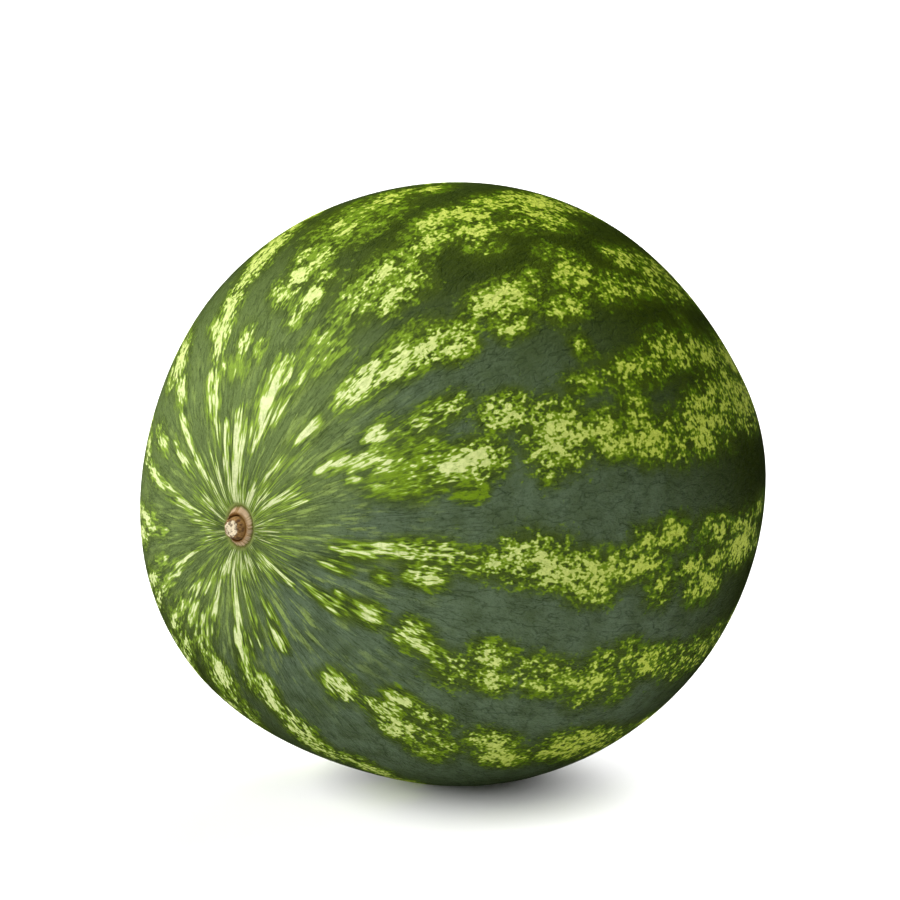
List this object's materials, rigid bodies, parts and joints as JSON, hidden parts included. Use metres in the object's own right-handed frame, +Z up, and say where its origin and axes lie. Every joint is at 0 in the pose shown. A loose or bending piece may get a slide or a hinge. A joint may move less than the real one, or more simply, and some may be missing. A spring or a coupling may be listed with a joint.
{
  "type": "watermelon",
  "caption": "Whole striped watermelon, a slightly oval fruit lying on its side on a small flat spot, with a corky stalk scar, a dried stalk stub and a small blossom scar.",
  "frame": {"origin": "centre of the object's box, at the level of the surface that it rests on; the point is inside the flat rest spot", "axes": "+Y along the long axis from the stalk end to the blossom end, +Z up, +X to the right seen from the stalk end"},
  "size_m": [0.25, 0.27, 0.2462],
  "materials": {
    "rind": "waxy green rind with broken pale stripes from end to end, satin",
    "dried_stalk": "dry brown fibrous stalk with a pale broken end"
  },
  "bodies": {
    "root": {"fruit": "rind", "stem_stub": "dried_stalk"}
  },
  "joints": []
}
